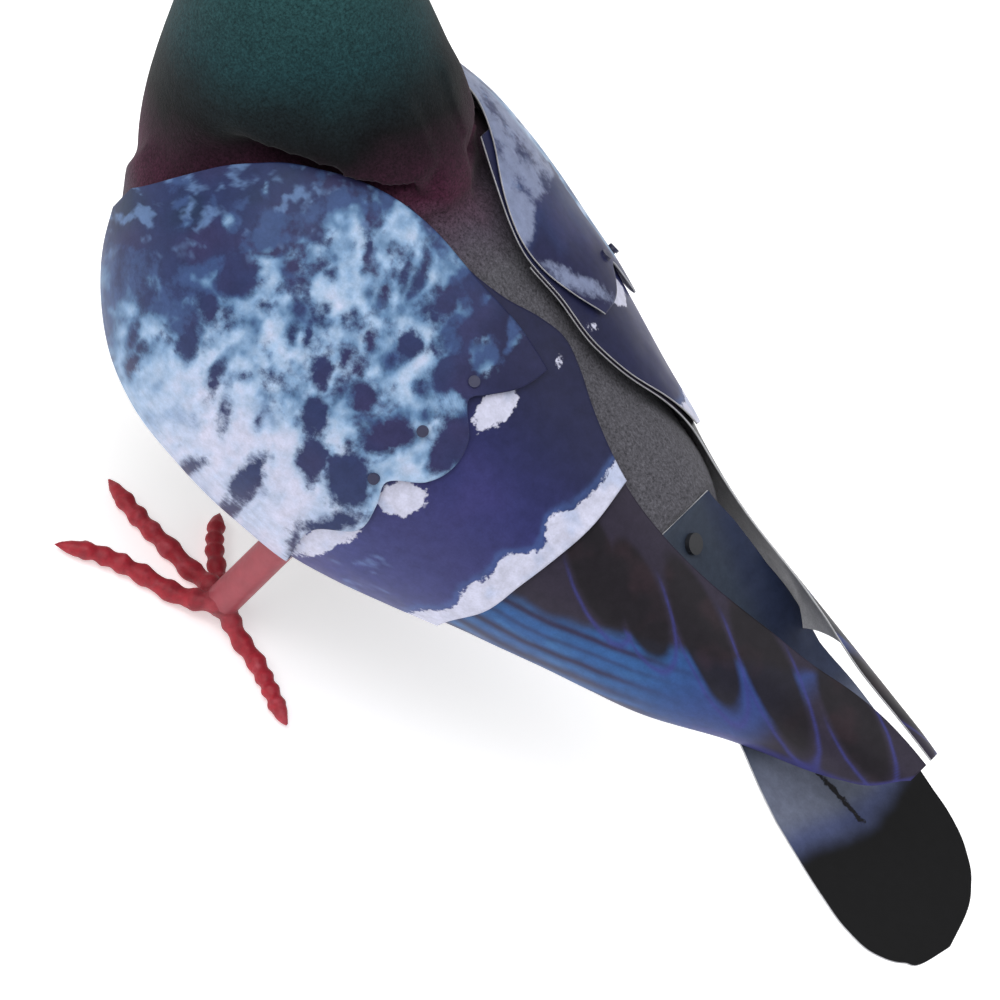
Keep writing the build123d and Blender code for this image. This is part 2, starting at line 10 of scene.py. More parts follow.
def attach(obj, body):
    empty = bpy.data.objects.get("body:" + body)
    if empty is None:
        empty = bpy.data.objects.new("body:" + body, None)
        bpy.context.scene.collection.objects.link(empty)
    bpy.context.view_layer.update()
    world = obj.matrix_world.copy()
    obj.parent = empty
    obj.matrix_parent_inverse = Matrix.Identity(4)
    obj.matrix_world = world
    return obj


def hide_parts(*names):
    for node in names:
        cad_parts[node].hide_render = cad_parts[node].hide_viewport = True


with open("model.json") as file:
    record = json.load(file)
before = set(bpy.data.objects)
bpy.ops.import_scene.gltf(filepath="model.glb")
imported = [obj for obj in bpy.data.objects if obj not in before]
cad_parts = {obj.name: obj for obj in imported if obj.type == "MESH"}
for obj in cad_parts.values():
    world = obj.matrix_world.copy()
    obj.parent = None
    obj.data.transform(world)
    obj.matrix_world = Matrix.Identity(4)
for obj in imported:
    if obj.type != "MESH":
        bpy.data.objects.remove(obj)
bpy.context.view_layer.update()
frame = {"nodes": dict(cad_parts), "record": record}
scene = bpy.context.scene
scene.view_settings.view_transform = "Standard"
BODY = "decoy_body"

# The trunk's own frame, as in the part: a forward, l to the bird's left, d out of the back, in millimetres.
PITCH = math.radians(10.0)
ORIGIN = np.array([0.024, 0.0, 0.076])
AXES = np.array([
    [math.cos(PITCH), 0.0, math.sin(PITCH)],
    [0.0, 1.0, 0.0],
    [-math.sin(PITCH), 0.0, math.cos(PITCH)],
])

# Wing surface: station a, centre height d, mean half-size.
WING_SECTIONS = [
    (81, 19.0, 29.0), (67, 12.5, 41.0), (54, 9.5, 49.0), (39, 7.5, 53.5), (20, 5.6, 54.3), (0, 4.2, 52.2),
    (-12, 4.0, 49.8), (-24, 4.1, 46.2), (-46, 6.7, 38.5), (-70, 9.0, 30.5), (-95, 13.6, 24.0),
    (-115, 20.5, 17.5), (-135, 25.0, 12.5), (-152, 27.0, 9.0),
]
WIDTH_FACTOR = 1.03
HEIGHT_FACTOR = 0.965
# The print is laid out as seen square to the shoulder, between the back and the side.
VIEW_D = 0.743
VIEW_L = 0.669


# ---------- small helpers ----------
def to_row(points):
    """Trunk-frame millimetres to row-frame metres."""
    return ORIGIN + np.asarray(points, dtype=float) @ AXES / 1000.0


def to_trunk(points):
    return (np.asarray(points, dtype=float) - ORIGIN) @ AXES.T * 1000.0


def smooth(x, knots):
    """Cubic Hermite curve through (x, y) knots in any order."""
    pairs = sorted(knots)
    xs = np.array([p[0] for p in pairs], dtype=float)
    ys = np.array([p[1] for p in pairs], dtype=float)
    slopes = np.gradient(ys, xs)
    x = np.clip(x, xs[0], xs[-1])
    k = np.clip(np.searchsorted(xs, x) - 1, 0, len(xs) - 2)
    h = xs[k + 1] - xs[k]
    t = (x - xs[k]) / h
    low = (1 + 2 * t) * (1 - t) ** 2 * ys[k] + t * (1 - t) ** 2 * h * slopes[k]
    return low + t * t * (3 - 2 * t) * ys[k + 1] + t * t * (t - 1) * h * slopes[k + 1]


def step(edge0, edge1, x):
    t = np.clip((x - edge0) / (edge1 - edge0), 0.0, 1.0)
    return t * t * (3 - 2 * t)


def lattice(ix, iy, seed):
    raw = np.sin(ix * 127.1 + iy * 311.7 + seed * 74.7) * 43758.5453
    return raw - np.floor(raw)


def noise(x, y, seed):
    ix = np.floor(x)
    iy = np.floor(y)
    fx = x - ix
    fy = y - iy
    fx = fx * fx * (3 - 2 * fx)
    fy = fy * fy * (3 - 2 * fy)
    low = lattice(ix, iy, seed) * (1 - fx) + lattice(ix + 1, iy, seed) * fx
    high = lattice(ix, iy + 1, seed) * (1 - fx) + lattice(ix + 1, iy + 1, seed) * fx
    return low * (1 - fy) + high * fy


def cloud(x, y, size, seed, octaves=3):
    """Layered noise about zero, between about -1 and 1, with blobs of the given size."""
    total = 0.0
    weight = 0.0
    for k in range(octaves):
        gain = 0.5 ** k
        total = total + gain * (noise(x / size * 2 ** k, y / size * 2 ** k, seed + k) - 0.5)
        weight += gain
    return 2.0 * total / weight


def rgb(r, g, b):
    """An sRGB colour, 0 to 255, as linear values."""
    c = np.array([r, g, b]) / 255.0
    return np.where(c <= 0.04045, c / 12.92, ((c + 0.055) / 1.055) ** 2.4)


def mix(base, colour, amount):
    return base * (1 - amount[..., None]) + np.asarray(colour) * amount[..., None]


def ramp(value, stops):
    """Colour ramp over an array: stops are (position, colour)."""
    places = [s[0] for s in stops]
    return np.stack([np.interp(value, places, [s[1][k] for s in stops]) for k in range(3)], axis=-1)


def set_colours(mesh, name, colours):
    """Store linear colours, one per vertex, as a named attribute."""
    layer = mesh.color_attributes.new(name, "FLOAT_COLOR", "POINT")
    rgba = np.ones((len(mesh.vertices), 4), dtype=np.float32)
    rgba[:, :3] = colours.reshape(-1, 3)
    layer.data.foreach_set("color", rgba.ravel())


def mesh_object(name, verts, faces, print_layers=None, smooth_shade=True):
    """Print layers: ground colour, ink colour, and how far (mm) each point lies inside the ink."""
    mesh = bpy.data.meshes.new(name)
    mesh.from_pydata([tuple(v) for v in verts], [], faces)
    if print_layers is not None:
        ground, ink, inside = print_layers
        set_colours(mesh, "ground", ground)
        set_colours(mesh, "ink", ink)
        layer = mesh.attributes.new("inside", "FLOAT", "POINT")
        layer.data.foreach_set("value", np.asarray(inside, dtype=np.float32).ravel())
    obj = bpy.data.objects.new(name, mesh)
    scene.collection.objects.link(obj)
    if smooth_shade:
        mesh.polygons.foreach_set("use_smooth", [True] * len(mesh.polygons))
    return obj


def grid_faces(rows, columns, closed=False):
    faces = []
    for i in range(rows - 1):
        for j in range(columns if closed else columns - 1):
            j2 = (j + 1) % columns
            faces.append((i * columns + j, i * columns + j2, (i + 1) * columns + j2, (i + 1) * columns + j))
    return faces


# ---------- materials ----------
class Nodes:
    """A material and short calls for adding its nodes."""

    def __init__(self, name):
        self.material = bpy.data.materials.new(name)
        self.material.use_nodes = True
        self.tree = self.material.node_tree
        self.shader = self.tree.nodes["Principled BSDF"]

    def add(self, kind, **settings):
        node = self.tree.nodes.new(kind)
        for key, value in settings.items():
            setattr(node, key, value)
        return node

    def link(self, source, target):
        self.tree.links.new(source, target)

    def put(self, **values):
        for key, value in values.items():
            self.shader.inputs[key.replace("_", " ")].default_value = value

    def noise(self, scale, detail=4.0, roughness=0.6, distortion=0.0):
        place = self.add("ShaderNodeTexCoord")
        node = self.add("ShaderNodeTexNoise")
        node.inputs["Scale"].default_value = scale
        node.inputs["Detail"].default_value = detail
        node.inputs["Roughness"].default_value = roughness
        node.inputs["Distortion"].default_value = distortion
        self.link(place.outputs["Object"], node.inputs["Vector"])
        return node.outputs["Fac"]

    def math(self, operation, a, b):
        node = self.add("ShaderNodeMath", operation=operation)
        for socket, value in zip(node.inputs, (a, b)):
            if isinstance(value, (int, float)):
                socket.default_value = value
            else:
                self.link(value, socket)
        return node.outputs[0]

    def spread(self, value, low, high):
        """Map a 0 to 1 value to low to high."""
        node = self.add("ShaderNodeMapRange")
        node.inputs["From Min"].default_value = 0.3
        node.inputs["From Max"].default_value = 0.7
        node.inputs["To Min"].default_value = low
        node.inputs["To Max"].default_value = high
        self.link(value, node.inputs["Value"])
        return node.outputs["Result"]

    def blend(self, kind, factor, a, b):
        node = self.add("ShaderNodeMix", data_type="RGBA", blend_type=kind)
        for socket, value in ((node.inputs[0], factor), (node.inputs[6], a), (node.inputs[7], b)):
            if isinstance(value, (int, float)):
                socket.default_value = value
            elif isinstance(value, (tuple, list, np.ndarray)):
                socket.default_value = (*value, 1.0)
            else:
                self.link(value, socket)
        return node.outputs[2]

    def bump(self, height, strength, distance):
        node = self.add("ShaderNodeBump")
        node.inputs["Strength"].default_value = strength
        node.inputs["Distance"].default_value = distance
        self.link(height, node.inputs["Height"])
        self.link(node.outputs["Normal"], self.shader.inputs["Normal"])

    def colour(self, source):
        self.link(source, self.shader.inputs["Base Color"])

    def roughness(self, source):
        self.link(source, self.shader.inputs["Roughness"])


def printed_material(name, softness=0.32):
    """Printed plastic film: ink colour, a fine print screen, faint waviness and a soft satin gloss."""
    m = Nodes(name)
    ground = m.add("ShaderNodeAttribute", attribute_name="ground")
    ink = m.add("ShaderNodeAttribute", attribute_name="ink")
    inside = m.add("ShaderNodeAttribute", attribute_name="inside")
    ragged = m.math("MULTIPLY", m.math("SUBTRACT", m.noise(620.0, 4.0, 0.65), 0.5), 3.4)
    depth = m.math("ADD", inside.outputs["Fac"], ragged)
    edge = m.add("ShaderNodeMapRange", interpolation_type="SMOOTHSTEP")
    edge.inputs["From Min"].default_value = -softness
    edge.inputs["From Max"].default_value = softness
    m.link(depth, edge.inputs["Value"])
    picture = m.blend("MIX", edge.outputs["Result"], ground.outputs["Color"], ink.outputs["Color"])
    grain = m.spread(m.noise(1900.0, 2.0), 0.94, 1.06)
    blotch = m.spread(m.noise(330.0, 5.0, 0.65), 0.84, 1.14)
    shade = m.math("MULTIPLY", grain, blotch)
    grey = m.add("ShaderNodeCombineColor")
    for k in range(3):
        m.link(shade, grey.inputs[k])
    m.colour(m.blend("MULTIPLY", 1.0, picture, grey.outputs[0]))
    m.roughness(m.spread(m.noise(120.0, 3.0), 0.40, 0.52))
    m.put(Specular_IOR_Level=0.14, Coat_Weight=0.02, Coat_Roughness=0.35)
    m.bump(m.noise(90.0, 2.0), 0.25, 0.0004)
    return m.material


def backing_material(name):
    """Unprinted back of the sheets: pale grey plastic with a grainy, slightly scuffed face."""
    m = Nodes(name)
    speck = m.noise(2600.0, 6.0, 0.75)
    streak = m.noise(320.0, 5.0, 0.7)
    tone = m.math("MULTIPLY", m.spread(speck, 0.72, 1.18), m.spread(streak, 0.82, 1.12))
    grey = m.add("ShaderNodeCombineColor")
    for k, level in enumerate((0.50, 0.50, 0.525)):
        m.link(m.math("MULTIPLY", tone, level), grey.inputs[k])
    m.colour(grey.outputs[0])
    m.roughness(m.spread(streak, 0.55, 0.7))
    m.put(Specular_IOR_Level=0.3)
    m.bump(speck, 0.3, 0.0002)
    return m.material


def flocked(m, colour_source):
    """Short fibre flocking over foam: speckled colour, no gloss, fuzzy rim."""
    speck = m.noise(1500.0, 3.0, 0.75)
    tuft = m.noise(420.0, 4.0, 0.7)
    shade = m.math("MULTIPLY", m.spread(speck, 0.40, 1.62), m.spread(tuft, 0.84, 1.16))
    grey = m.add("ShaderNodeCombineColor")
    for k in range(3):
        m.link(shade, grey.inputs[k])
    m.colour(m.blend("MULTIPLY", 1.0, colour_source, grey.outputs[0]))
    m.put(Roughness=0.95, Specular_IOR_Level=0.08, Sheen_Weight=0.07, Sheen_Roughness=0.5)
    height = m.math("ADD", m.math("MULTIPLY", speck, 0.6), m.math("MULTIPLY", tuft, 0.7))
    m.bump(height, 0.55, 0.0005)


def trunk_height(m, direction, centre):
    """Distance in metres along a row-frame direction from a point, as a node socket."""
    place = m.add("ShaderNodeTexCoord")
    shift = m.add("ShaderNodeVectorMath", operation="SUBTRACT")
    m.link(place.outputs["Object"], shift.inputs[0])
    shift.inputs[1].default_value = centre
    dot = m.add("ShaderNodeVectorMath", operation="DOT_PRODUCT")
    m.link(shift.outputs["Vector"], dot.inputs[0])
    dot.inputs[1].default_value = direction
    return dot.outputs["Value"]


def foam_material():
    """Grey flocked foam with the neck airbrushed purple, black and green."""
    m = Nodes("flocked_foam")
    neck_axis = np.array([0.62, 0.0, 0.785]) @ AXES
    along = trunk_height(m, tuple(neck_axis), tuple(to_row([0, 0, 0])))
    wander = m.math("MULTIPLY", m.math("SUBTRACT", m.noise(38.0, 3.0), 0.5), 0.016)
    level = m.math("ADD", along, wander)
    ramp_node = m.add("ShaderNodeMapRange")
    ramp_node.inputs["From Min"].default_value = 0.040
    ramp_node.inputs["From Max"].default_value = 0.130
    m.link(level, ramp_node.inputs["Value"])
    stops = [
        (0.0, rgb(80, 79, 85)), (0.10, rgb(72, 65, 76)), (0.235, rgb(66, 32, 50)), (0.33, rgb(44, 20, 34)),
        (0.44, rgb(13, 13, 16)), (0.53, rgb(18, 28, 31)), (0.64, rgb(24, 50, 54)), (0.85, rgb(34, 64, 66)),
        (1.0, rgb(62, 72, 88)),
    ]
    band = m.add("ShaderNodeValToRGB")
    while len(band.color_ramp.elements) < len(stops):
        band.color_ramp.elements.new(0.5)
    for element, (place, colour) in zip(band.color_ramp.elements, stops):
        element.position = place
        element.color = (*colour, 1.0)
    m.link(ramp_node.outputs["Result"], band.inputs["Fac"])
    flocked(m, band.outputs["Color"])
    return m.material


def plain_material(name, colour, roughness, metallic=0.0, grain=300.0, coat=0.0):
    """Moulded or turned stock: gentle colour mottling and a fine surface grain."""
    m = Nodes(name)
    tone = m.spread(m.noise(grain, 4.0), 0.88, 1.10)
    parts = m.add("ShaderNodeCombineColor")
    for k in range(3):
        m.link(m.math("MULTIPLY", tone, float(colour[k])), parts.inputs[k])
    m.colour(parts.outputs[0])
    m.roughness(m.spread(m.noise(grain * 2.5, 3.0), roughness * 0.85, min(1.0, roughness * 1.15)))
    m.put(Metallic=metallic, Coat_Weight=coat)
    m.bump(m.noise(grain * 5, 3.0), 0.15, 0.0001)
    return m.material


def foot_material():
    """Soft red vinyl toes: painted shade, a deeper red, in the creases, and a painted highlight, paler and
    rosy, on the rings.
    """
    m = Nodes("red_toes")
    ink = m.add("ShaderNodeAttribute", attribute_name="ground")
    blot = m.noise(420.0, 5.0, 0.7)
    tone = m.spread(blot, 0.74, 1.22)
    grey = m.add("ShaderNodeCombineColor")
    for k in range(3):
        m.link(tone, grey.inputs[k])
    m.colour(m.blend("MULTIPLY", 1.0, ink.outputs["Color"], grey.outputs[0]))
    m.roughness(m.spread(m.noise(300.0, 3.0), 0.42, 0.6))
    m.put(Subsurface_Weight=0.06, Subsurface_Scale=0.002, Specular_IOR_Level=0.4)
    m.bump(m.noise(900.0, 5.0, 0.7), 0.5, 0.0004)
    return m.material


# ---------- wing sheets ----------
def wing_point(a, phi, lift, side):
    """Points on the wing surface: station, angle from the back, lift in millimetres, side +1 or -1."""
    centre = smooth(a, [(row[0], row[1]) for row in WING_SECTIONS])
    size = smooth(a, [(row[0], row[2]) for row in WING_SECTIONS])
    width = size * WIDTH_FACTOR + lift
    height = size * HEIGHT_FACTOR + lift
    return np.stack([a, side * width * np.sin(phi), centre + height * np.cos(phi)], axis=-1)


def print_place(a, phi):
    """Print coordinate b of a left-wing point: falls from the back down the side and on below it."""
    at = wing_point(a, phi, 0.0, 1)
    b = VIEW_L * at[..., 2] - VIEW_D * at[..., 1]
    centre = smooth(a, [(row[0], row[1]) for row in WING_SECTIONS])
    size = smooth(a, [(row[0], row[2]) for row in WING_SECTIONS])
    turn = math.atan2(VIEW_D * WIDTH_FACTOR, -VIEW_L * HEIGHT_FACTOR)
    lowest = VIEW_L * centre - size
    return np.where(phi > turn, 2 * lowest - b, b)


# Back edge of each sheet: station and angle from the back. The two wings' sheets lie a little differently.
COVERT_BACK = [
    (78, 100), (75, 84), (71, 66), (66, 50), (58, 35.5), (46, 24.5), (34, 18), (23, 15), (5, 14),
    (-10, 13), (-24, 14.5),
]
WING_BACK = [
    (78, 100), (40, 20), (23, 14.5), (5, 13), (-4, 10), (-12, 5.5), (-20, 2.5), (-27, 4.5), (-35, 9),
    (-53, 17), (-68, 19), (-85, 18.5), (-100, 16), (-115, 14), (-125, 7), (-133, 2.5), (-142, 1),
    (-152, 3),
]
FAR_COVERT_BACK = [
    (78, 100), (75, 84), (71, 66), (66, 50), (58, 40), (46, 33), (35, 28), (26, 20), (16, 10), (5, 4),
    (-5, 4), (-14, 8), (-24, 16),
]
FAR_WING_BACK = [
    (78, 100), (40, 30), (16, 9), (2, 3), (-12, 4.5), (-27, 7), (-38, 14), (-46, 24), (-56, 38),
    (-70, 45), (-85, 46), (-97, 44), (-106, 37), (-114, 27), (-122, 20), (-135, 15), (-152, 10),
]
FAR_LOW = [
    (78, 101), (75, 108), (72, 116), (66, 123), (56, 128), (39, 130), (-92, 130), (-102, 112), (-110, 86),
    (-118, 68), (-128, 58), (-140, 50), (-152, 36),
]
LOW = [
    (78, 101), (75, 108), (72, 116), (66, 123), (56, 128), (39, 130), (-113, 130), (-122, 121),
    (-130, 110), (-138, 92), (-144, 71), (-148, 42), (-152, 20),
]
COVERT_REAR = [
    (40, -22), (24, -22), (16, -20.5), (10, -16.5), (7, -14.2), (0, -21), (-6, -23), (-13, -21),
    (-19.5, -14.6), (-24, -16.8), (-31, -18), (-38, -10.8), (-47, -11.4), (-60, -14), (-72, -11),
    (-90, -13),
]
SECONDARY_REAR = [
    (45, -50), (26, -52), (20, -53), (6, -55.2), (-5, -54.6), (-14, -53.5), (-24, -52), (-32, -47.5),
    (-42, -45), (-52, -44), (-70, -42),
]
TIP_A = -149.3


def sheet_surface(name, front_a, rear, lift, rows, columns, side, painter, curl, body, dorsal):
    """One printed sheet: rows run backwards, columns from the back edge down round the side."""
    s = np.linspace(0.0, 1.0, rows)[:, None] * np.ones((1, columns))
    t = np.ones((rows, 1)) * np.linspace(0.0, 1.0, columns)[None, :]
    nominal_rear = -18.0 if rear is COVERT_REAR else (-50.0 if rear is SECONDARY_REAR else TIP_A)
    if front_a > 70:
        run = np.where(s < 0.25, 0.25 * (s / 0.25) ** 1.6, s)
        a = front_a + (nominal_rear - front_a) * run
    else:
        a = front_a + (nominal_rear - front_a) * s
    for _ in range(3):
        top = np.radians(smooth(a, dorsal))
        low = np.radians(smooth(a, LOW if side > 0 else FAR_LOW))
        phi = top + (low - top) * t
        if rear is not None:
            b = print_place(a, phi)
            end = smooth(b, rear)
            base = front_a + (nominal_rear - front_a) * (s if front_a <= 70 else run)
            weight = step(0.45, 1.0, s)
            a = base + (end - nominal_rear) * weight
    top = np.radians(smooth(a, dorsal))
    low = np.radians(smooth(a, LOW if side > 0 else FAR_LOW))
    phi = top + (low - top) * t
    b = print_place(a, phi)
    rise = lift + curl * step(0.72, 1.0, s) ** 2 + 0.35 * cloud(a, b, 26.0, 5) * step(0.0, 0.3, s)
    points = wing_point(a, phi, rise, side)
    verts = to_row(points.reshape(-1, 3))
    seen_b = VIEW_L * points[..., 2] - VIEW_D * points[..., 1]
    faces = grid_faces(rows, columns)
    if side < 0:
        faces = [tuple(reversed(f)) for f in faces]
    obj = mesh_object(name, verts, faces, painter(a, b, seen_b, side))
    thick = obj.modifiers.new("thickness", "SOLIDIFY")
    thick.thickness = 0.00045
    thick.offset = -1.0
    thick.material_offset = 1
    thick.material_offset_rim = 1
    obj.data.materials.append(MOTTLED if painter is paint_covert else PRINTED)
    obj.data.materials.append(BACKING)
    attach(obj, body)
    return obj


# Covert colours from pale to dark.
TONES = [
    (0.0, rgb(188, 193, 216)), (0.3, rgb(158, 180, 208)), (0.5, rgb(122, 152, 186)),
    (0.68, rgb(86, 118, 154)), (0.85, rgb(56, 76, 118)), (1.0, rgb(45, 52, 90)),
]
VIOLET = rgb(42, 52, 90)
PLUM = rgb(50, 50, 86)

# Marks of the printed coverts: a, b, half-length, half-width, turn in degrees, and form
# (1 diamond, 2 oval). A turn of 44 runs up the print as it is seen, 134 across it.
DARK_MARKS = [
    (38, 8, 4.0, 3.6, 44, 2.4), (44, -11, 5.4, 4.6, 44, 2.2), (43, -2, 3.8, 2.4, 134, 1.5),
    (36, -1, 2.6, 2.2, 44, 2.2), (29, 3, 1.5, 1.3, 44, 2), (41, -29, 4.8, 2.4, 50, 1.5),
    (44, -21, 3.9, 2.4, 10, 1.5), (34, -11, 1.9, 1.1, 110, 1.6), (32, 19, 2.9, 2.6, 44, 2.2),
    (26, 13, 5.2, 1.3, 40, 2), (18, 16, 3.8, 1.2, 50, 1.7), (15, 18, 4.6, 1.3, 60, 1.7),
    (5, 18, 5.4, 2.9, 66, 1.8), (4, 5, 3.8, 3.2, 60, 1.7), (-6, 7, 4.6, 3.4, 90, 1.6),
    (17, 9, 2.7, 1.1, 44, 1.8), (18, 2, 0.9, 0.9, 0, 2), (24, -3, 1.3, 1.0, 44, 2),
    (22, -9, 2.6, 1.3, 40, 1.8), (25, -12, 1.9, 0.9, 60, 1.8), (11, 0, 2.4, 1.5, 44, 1.7),
    (13, -7, 2.3, 1.3, 44, 2), (14, -13, 3.9, 2.3, 60, 1.7), (26, -26, 1.3, 0.8, 134, 2),
    (30, -30, 4.8, 1.4, 64, 1.8), (23, -35, 2.9, 0.9, 50, 1.8), (3, -10, 4.4, 3.4, 20, 1.5),
    (8, -21, 4.6, 3.2, 20, 1.8), (1, -28, 6.6, 4.0, 44, 1.2), (8, -41, 6.4, 3.4, 76, 1.3),
    (-8, -25, 8.0, 5.4, 44, 1.6), (-7, -12, 7.4, 4.0, 120, 1.6), (-19, -3, 8.0, 4.6, 80, 1.7),
    (55, -29, 3.4, 1.5, 60, 1.8), (57, -20, 4.6, 2.6, 60, 1.7), (63, -30, 3.4, 1.2, 50, 1.8),
    (51, -37, 2.6, 1.3, 60, 1.6), (46, -42, 2.6, 1.8, 44, 1.6), (47, -38, 1.8, 1.3, 44, 1.8),
    (7, -49, 3.6, 1.8, 100, 1.7), (20, -49, 3.8, 2.0, 110, 1.5), (-13, -34, 7.6, 2.2, 128, 1.8),
    (-10, -44, 3.4, 1.0, 60, 1.7), (-17, 11, 3.6, 1.4, 100, 1.7), (62, -22, 2.4, 1.5, 30, 1.8),
    (49, -8, 2.6, 1.3, 134, 1.7), (16, -30, 1.4, 0.7, 60, 2), (66, -18, 2.6, 1.4, 134, 1.8),
]
LIGHT_MARKS = [
    (66, -9, 1.5, 1.1, 44, 2), (61, -11, 2.0, 0.9, 120, 2), (54, -4, 3.2, 2.0, 60, 1.6),
    (56, 0, 1.6, 1.0, 100, 1.7), (46, 1, 5.2, 3.9, 50, 1.8), (37, 15, 5.4, 4.4, 80, 1.8),
    (54, 6, 1.0, 0.8, 0, 2), (34, 22, 3.2, 1.1, 50, 1.8), (53, 14, 1.1, 0.7, 134, 2),
    (69, -6, 1.6, 0.9, 120, 1.8), (42, 9, 2.6, 1.2, 134, 1.7), (-10, 15, 4.4, 3.2, 60, 1.8),
    (-11, 22, 5.0, 1.5, 60, 1.7), (0, 24, 0.8, 0.7, 0, 2), (60, -3, 1.4, 0.8, 40, 1.8),
    (47, 17, 1.8, 0.8, 70, 1.8),
]
# Lower limit of the dark shoulder band, then front limit of the dark rear corner, in the upright print.
BAND_LIMIT = [
    (-75, 38), (-69, 34), (-58, 28), (-49, 26), (-41, 29), (-34, 37), (-25, 37), (-18, 43), (-11, 41),
    (-4, 43), (6, 60),
]
CORNER_LIMIT = [
    (34, 60), (24, 17), (23, 14.5), (15, 15), (10, 11.5), (5, 11.5), (1, 7), (-4, 11.5), (-10, 15),
]


def mark_depth(a, b, marks, sway, seed):
    """Millimetres inside the nearest of a set of marks, negative outside."""
    wa = a + sway * (cloud(a, b, 5.0, seed) + 0.5 * cloud(a, b, 2.4, seed + 7))
    wb = b + sway * (cloud(a, b, 5.0, seed + 20) + 0.5 * cloud(a, b, 2.4, seed + 27))
    depth = np.full_like(a, -8.0)
    for centre_a, centre_b, half_length, half_width, turn, form in marks:
        c = math.cos(math.radians(turn))
        s = math.sin(math.radians(turn))
        x = np.abs((wa - centre_a) * c + (wb - centre_b) * s) / half_length
        y = np.abs(-(wa - centre_a) * s + (wb - centre_b) * c) / half_width
        reach = (x ** form + y ** form) ** (1.0 / form) + 0.16 * sway * cloud(a, b, 3.2, seed + 3)
        depth = np.maximum(depth, (1 - reach) * half_width)
    return depth


# Each painter gets the station a, the print coordinate b, the far wing's own coordinate seen_b and the
# side, and returns the ground colour, the ink colour and the depth inside the ink.
def paint_covert(a, b, seen_b, side):
    """Mottled coverts: pale blue and white, dark pointed marks, a dark shoulder band and rear corner."""
    u = -0.695 * a + 0.719 * b
    v = 0.719 * a + 0.695 * b
    tone = 0.30 + 0.34 * cloud(a, b, 7.0, 11, 4) + 0.26 * cloud(a, b, 3.2, 15)
    tone = tone - 0.18 * step(-8, -34, b) * step(56, 24, a)
    tone = tone + 0.30 * step(26, 58, a) + 0.12 * step(10, 24, b)
    band = v - smooth(u, BAND_LIMIT) + 2.6 * cloud(a, b, 7.0, 3)
    corner = u - smooth(v, CORNER_LIMIT) + 1.4 * cloud(a, b, 5.0, 7)
    tone = tone + 0.30 * step(-6, 1, np.maximum(band, corner * 0.8))
    depth = mark_depth(a, b, DARK_MARKS, 1.6, 31)
    flecks = 2.6 * (cloud(a, b, 4.6, 19, 4) - 0.36 + 0.26 * step(20, 60, a) - 0.42 * step(-14, -34, b))
    depth = np.maximum(depth, flecks)
    tone = tone + 0.34 * step(-2.4, 0.2, depth)
    if side < 0:
        depth = mark_depth(a, b - 4.0, DARK_MARKS, 2.4, 131)
    depth = np.maximum(depth, np.maximum(band * 0.8, corner))
    light = mark_depth(a, b, LIGHT_MARKS, 2.0, 35)
    tone = tone - 0.42 * step(-1.4, 1.2, light) * step(-1.0, 2.0, band)
    depth = np.minimum(depth, -light * 1.2)
    ground = ramp(np.clip(tone, 0.0, 0.86), TONES)
    ground = mix(ground, rgb(206, 198, 216), 0.35 * step(-22, -42, b) * step(46, 16, a))
    plum = step(-0.2, 0.7, cloud(a, b, 11.0, 41))
    ink = mix(np.ones(a.shape + (3,)) * VIOLET, PLUM, plum)
    ink = mix(ink, rgb(34, 48, 76), step(-0.2, 0.6, cloud(a, b, 9.0, 45)) * step(24, 40, v))
    ink = mix(ink, rgb(36, 38, 70), step(2, 10, corner))
    speck = step(0.18, 0.5, cloud(a, b, 3.4, 47, 4)) * step(22, 34, v) * step(3, -2, corner)
    ink = mix(ink, rgb(96, 124, 166), 0.75 * speck)
    if side < 0:
        back = step(2.0, 7.0, b)
        pale_tones = [(0.0, rgb(132, 141, 168)), (0.5, rgb(104, 114, 146))]
        pale = ramp(0.18 + 0.1 * cloud(a, b, 6.0, 75), pale_tones)
        ground = mix(ground, pale, back)
        front = mark_depth(a, seen_b, FAR_MARKS, 1.4, 61)
        rear = 4.0 - a + 0.5 * (seen_b - 44) + 2.0 * cloud(a, b, 8.0, 77)
        rear = np.minimum(rear, -mark_depth(a, seen_b, [(-12, 44, 8.0, 1.6, 160, 1.8)], 1.0, 79))
        depth = depth * (1 - back) + np.maximum(front, rear) * back
    return ground, ink, depth


# Dark streaks on the visible back of the far wing's coverts.
FAR_MARKS = [
    (36, 55, 4.0, 1.0, 10, 1.7), (31, 58, 4.6, 1.2, 14, 1.7), (26, 62, 3.0, 1.0, 20, 1.7),
    (24, 52, 2.0, 0.7, 8, 1.8), (18, 56, 4.4, 1.1, 16, 1.7), (15, 60, 4.0, 1.1, 20, 1.7),
    (9, 55, 3.4, 1.3, 20, 1.7), (42, 57, 3.0, 0.9, 10, 1.7), (12, 50, 2.4, 0.7, 12, 1.8),
    (46, 60, 4.0, 1.2, 12, 1.7),
]
WHITE_PATCHES = [
    (-20, 9, 6.2, 3.6, 90, 1.8), (-20, -20, 5.8, 4.0, 134, 1.8), (-14, -39, 8.6, 2.8, 114, 1.8),
    (-22, 27, 1.2, 0.5, 50, 2),
]
BAR_LIMIT = [
    (45, -46), (40, -46), (24, -47.5), (19, -48.6), (8, -49.4), (1, -47.2), (-4.6, -50.5), (-12.5, -46),
    (-18, -46.8), (-24, -44.8), (-28, -46.2), (-35, -40.6), (-42, -39), (-52, -38), (-70, -37),
]


SECONDARY_TONES = [
    (-45, rgb(62, 68, 122)), (-24, rgb(55, 56, 104)), (-4, rgb(48, 50, 98)), (12, rgb(35, 38, 72)),
    (30, rgb(31, 33, 60)),
]


